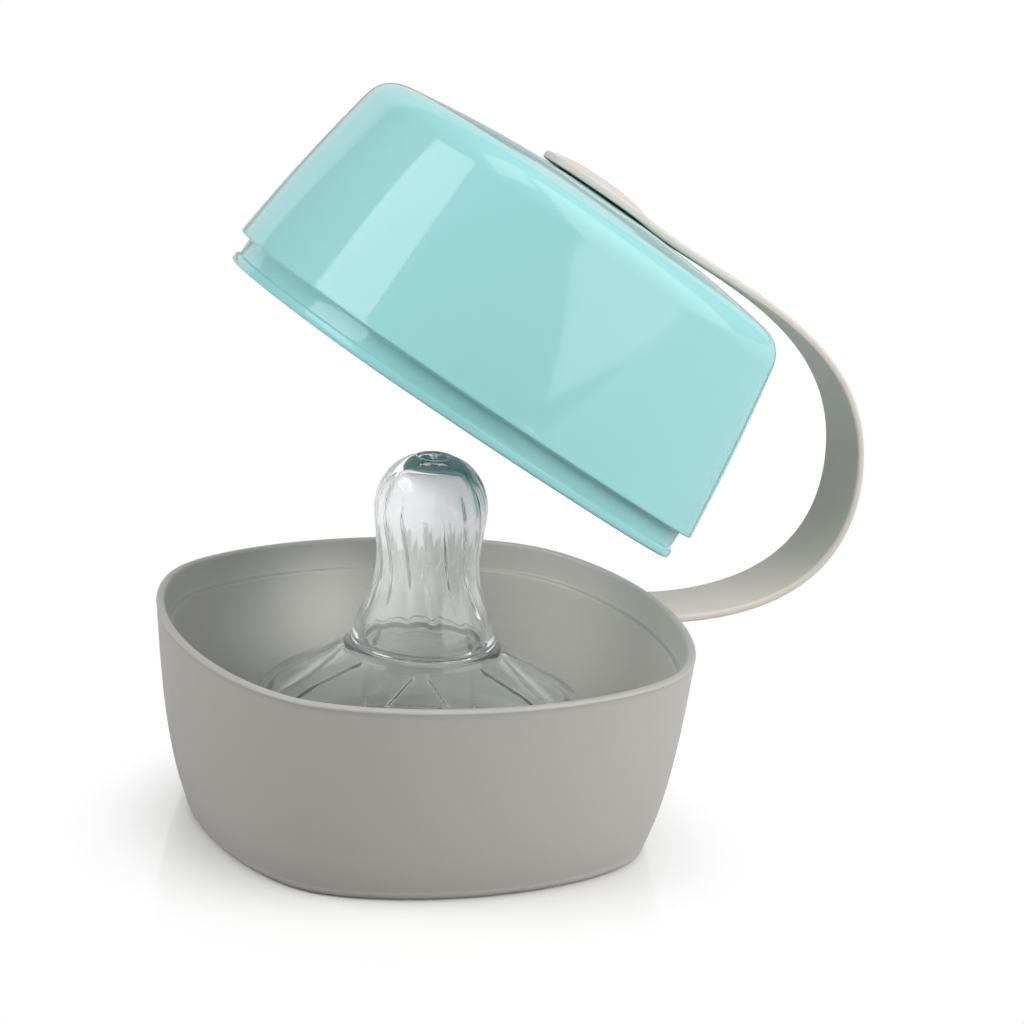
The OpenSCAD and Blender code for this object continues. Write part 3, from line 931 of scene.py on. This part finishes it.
# %% Teat finish
SHADE_LET_THROUGH = 0.85
SHADOW_RAY = 1
RIPPLE_DEPTH = 0.03
SILICONE_IOR = 1.41
clear = Finish("teat_clear_silicone")
place = clear.node("TexCoord", output=OBJECT_SPACE)
ripple = noise(clear, place, 160.0, 1.0)
haze = noise(clear, place, 90.0, 2.0)
silicone = clear.node("BsdfPrincipled", {}, {
    "Base Color": between(clear, haze, (0.93, 0.95, 0.95), (0.97, 0.98, 0.98)),
    "Roughness": 0.015 + haze * 0.03,
    "IOR": SILICONE_IOR,
    "Transmission Weight": 0.96,
    "Normal": clear.node("Bump", {}, {"Height": ripple, "Distance": RIPPLE_DEPTH * MM, "Strength": 0.5}),
})
thin_shade = clear.node("LightPath", output=SHADOW_RAY) * SHADE_LET_THROUGH
passing = clear.node("BsdfTransparent", {}, {"Color": (0.97, 0.98, 0.98)})
teat_clear = clear.end(clear.node("MixShader", {}, {"Fac": thin_shade, 1: silicone, 2: passing}))
dress(teat, teat_clear)
print("teat wears", teat_clear.name)

# %% [markdown]
# The studio is a white sweep. The camera sees a pale, slightly mirroring floor, which keeps the
# case's contact shadow and its faint mirror image. Further out it goes over to plain white, as
# the far end of a sweep does. For other rays it is matte. Through the teat it looks a little
# greyer, and it throws back less light onto the case than its look would give, because the
# photographed case gets little light from below. From below the floor is left open.

# %% Floor
CAMERA_RAY, DIFFUSE_RAY, GLOSSY_RAY, THROUGH_RAY = 0, 2, 3, 6
FLOOR_SIZE = 6.0
FLOOR_MIDDLE = (-0.006, -0.014, 0.0)
WHITE_FROM, WHITE_FULL = 0.034, 0.06
MATTE_PALE = 0.74
BOUNCED_LESS = 0.38
THROUGH_LESS = 0.2
BACK_OF_FACE = 6
deselect()
bpy.ops.mesh.primitive_plane_add(size=FLOOR_SIZE, location=(0, 0, 0))
floor = bpy.context.object
floor.name = "studio_floor"
sweep = Finish("floor_pale")
place = sweep.node("TexCoord", output=OBJECT_SPACE)
away = sweep.node("VectorMath", {"operation": "DISTANCE"}, {0: place, 1: FLOOR_MIDDLE}, output=1)
far = sweep.node("MapRange", {"interpolation_type": "SMOOTHSTEP"},
                 {"Value": away, "From Min": WHITE_FROM, "From Max": WHITE_FULL})
speck = noise(sweep, place, 400.0, 2.0)
seen = sweep.node("LightPath", output=CAMERA_RAY)
bounced = sweep.node("LightPath", output=DIFFUSE_RAY)
through = sweep.node("LightPath", output=THROUGH_RAY)
table = sweep.node("BsdfPrincipled", {}, {
    "Base Color": (1.0, 1.0, 1.0),
    "Roughness": 0.05 + speck * 0.03,
    "IOR": 2.0,
})
# Painted shade: seen through the teat the matte floor is greyer, standing for a dimmer floor away from the
# lit middle; for bounced rays it is darker still, so less light comes back onto the case.
matte = sweep.node("BsdfPrincipled", {}, {
    "Base Color": MATTE_PALE - bounced * BOUNCED_LESS - through * THROUGH_LESS,
    "Roughness": 0.7,
    "IOR": 1.3,
})
paper = sweep.node("MixShader", {}, {"Fac": seen, 1: matte, 2: table})
white = sweep.node("Emission", {}, {"Color": (1.0, 1.0, 1.0), "Strength": 1.0})
clean = sweep.node("MixShader", {}, {"Fac": far * seen, 1: paper, 2: white})
below = sweep.node("NewGeometry", output=BACK_OF_FACE)
open_side = sweep.node("BsdfTransparent", {}, {})
dress(floor, sweep.end(sweep.node("MixShader", {}, {"Fac": below, 1: clean, 2: open_side})))
print("floor wears floor_pale")

# %% [markdown]
# The room is lit evenly, so a colour renders about as it is written. What gloss and silicone
# mirror of it is a pale sweep behind the case and a greyer studio in front, as in the
# photograph, and the camera itself always sees plain white. What shows through the teat is a
# little darker, because the real silicone takes away more light than the plain finish does.

# %% Room light
ROOM_STRENGTH = 0.24
STUDIO_GREY = 0.22
SWEEP_PALE = 0.78
THROUGH_SHARE = 0.78
SWEEP_FROM, SWEEP_FULL = 0.765, 0.8
GENERATED_WAY = 0
world = bpy.data.worlds.new("studio_room")
bpy.context.scene.world = world
world.use_nodes = True


class Room(Finish):
    """The world's node tree, built with the same method as a material's."""

    def __init__(self, tree):
        self.tree = tree
        self.tree.nodes.clear()


room = Room(world.node_tree)
way = room.node("TexCoord", output=GENERATED_WAY)
behind = Vector((FORWARD.x, FORWARD.y, 0)).normalized()
facing = room.node("VectorMath", {"operation": "DOT_PRODUCT"}, {0: way, 1: tuple(behind)}, output=1)
sweep_seen = room.node("MapRange", {"interpolation_type": "SMOOTHSTEP"},
                       {"Value": facing, "From Min": SWEEP_FROM, "From Max": SWEEP_FULL})
seen = room.node("LightPath", output=CAMERA_RAY)
mirrored = room.node("LightPath", output=GLOSSY_RAY)
through = room.node("LightPath", output=THROUGH_RAY)
studio = STUDIO_GREY + sweep_seen * (SWEEP_PALE - STUDIO_GREY)
shown = (mirrored + through * THROUGH_SHARE) * studio
even = (1 - mirrored - through) * ROOM_STRENGTH
level = seen + (1 - seen) * (shown + even)
glow = room.node("Background", {}, {"Color": (1.0, 1.0, 1.0), "Strength": level})
out = room.tree.nodes.new("ShaderNodeOutputWorld")
room.tree.links.new(glow.socket, out.inputs["Surface"])
print("room strength", ROOM_STRENGTH)

# %% [markdown]
# Lamps and panels stand round the lid at an azimuth, counted from the front towards the strap,
# and at an elevation. A soft box is a rectangular lamp. A panel is drawn point by point like a
# section, filled and lit, because its outline is to be seen in the lid.

# %% Lamp helpers
STUDIO_MIDDLE = Vector((0, 0, 80))
STUDIO_FAR = 1500


def facing_back(place, back):
    """The frame of a thing at a place in mm whose back looks along the given direction."""
    return Matrix.Translation(place * MM) @ back.to_track_quat("Z", "Y").to_matrix().to_4x4()


def round_the_lid(azimuth, elevation, distance):
    """The frame of a thing that stands off the lid in a direction and faces it."""
    a, e = math.radians(azimuth), math.radians(elevation)
    way = Vector((math.sin(a) * math.cos(e), -math.cos(a) * math.cos(e), math.sin(e)))
    return facing_back(STUDIO_MIDDLE + way * distance, way)


def soft_box(name, stands, wide, tall, level):
    """A rectangular lamp; lengths in mm, level 1 is white."""
    lamp = bpy.data.objects.new(name, bpy.data.lights.new(name, "AREA"))
    lamp.data.shape = "RECTANGLE"
    lamp.data.size, lamp.data.size_y = wide * MM, tall * MM
    lamp.data.energy = level * math.pi * wide * tall * MM * MM
    lamp.visible_camera = False
    bpy.context.scene.collection.objects.link(lamp)
    lamp.matrix_world = stands
    print(name, "watts", round(lamp.data.energy, 2))
    return lamp


def studio_panel(name, stands, corners, level):
    """A lit panel with the outline that its mirror image in the lid shows."""
    panel = draw_section(name, corners)
    bpy.ops.object.mode_set(mode="EDIT")
    bpy.ops.mesh.select_all(action="SELECT")
    bpy.ops.mesh.edge_face_add()
    bpy.ops.mesh.flip_normals()
    bpy.ops.object.mode_set(mode="OBJECT")
    panel.data.transform(stands @ Matrix.Rotation(math.radians(-90), 4, "X"))
    lit = Finish(name)
    dress(panel, lit.end(lit.node("Emission", {}, {"Color": (1.0, 1.0, 1.0), "Strength": level})))
    panel.visible_camera = False
    print(name, "has", len(panel.data.vertices), "corners")


print("the studio is", STUDIO_FAR, "mm away all round")

# %% [markdown]
# What the lid mirrors comes from two panels. Their outlines were traced back from the two pale
# shapes in the photographed lid: an upright strip on the left, and a large leaning patch on the
# right, which is also the key light. The other lamps are one box overhead, three low fills that no
# gloss mirrors, and two small lamps between lid and bowl that light the inside of the bowl. Those
# are small enough to stay inside the case when the lid is shut.

# %% Panels and soft boxes
PANELS = [
    ("panel_left", -112, 42, 2.9, [(-300, -330), (-400, -153), (-510, 0), (-490, 50), (-188, 140), (60, 300),
                                   (130, 325), (333, 275), (547, 161), (900, -30), (700, -330)]),
    ("panel_key", 46, 22, 2.2, [(-802, -565), (-859, -278), (-950, 0), (-834, 381), (-333, 941),
                                (444, 1719), (800, 1250), (800, -950)]),
]
TOP_FAR, TOP_W, TOP_H, TOP_LEVEL = 1300, 900, 900, 1.9
FILL_W, FILL_H = 1100, 900
FILLS = [("fill_left", -98, 28, 3.1), ("fill_front", 14, 26, 1.4), ("fill_right", 76, 14, 1.8)]
INNER_LAMPS = [
    ("bowl_light", (-14, -4, 54), (24, 6, 22), 22, 5.6, 100),
    ("bowl_glow", (16, -16, 52), (-9, 39, 20), 12, 3.4, 32),
]

for name, azimuth, elevation, level, corners in PANELS:
    studio_panel(name, round_the_lid(azimuth, elevation, STUDIO_FAR), corners, level)
soft_box("box_top", round_the_lid(-20, 80, TOP_FAR), TOP_W, TOP_H, TOP_LEVEL)
for name, azimuth, elevation, level in FILLS:
    fill = soft_box(name, round_the_lid(azimuth, elevation, STUDIO_FAR), FILL_W, FILL_H, level)
    fill.visible_glossy = fill.visible_transmission = False
for name, place, aim, wide, level, spread in INNER_LAMPS:
    stands = facing_back(Vector(place), Vector(place) - Vector(aim))
    lamp = soft_box(name, stands, wide, wide, level)
    lamp.data.spread = math.radians(spread)
    lamp.visible_glossy = lamp.visible_transmission = False

# %% [markdown]
# Last, the picture is shown without any film curve.

# %% Standard view
bpy.context.scene.view_settings.view_transform = "Standard"
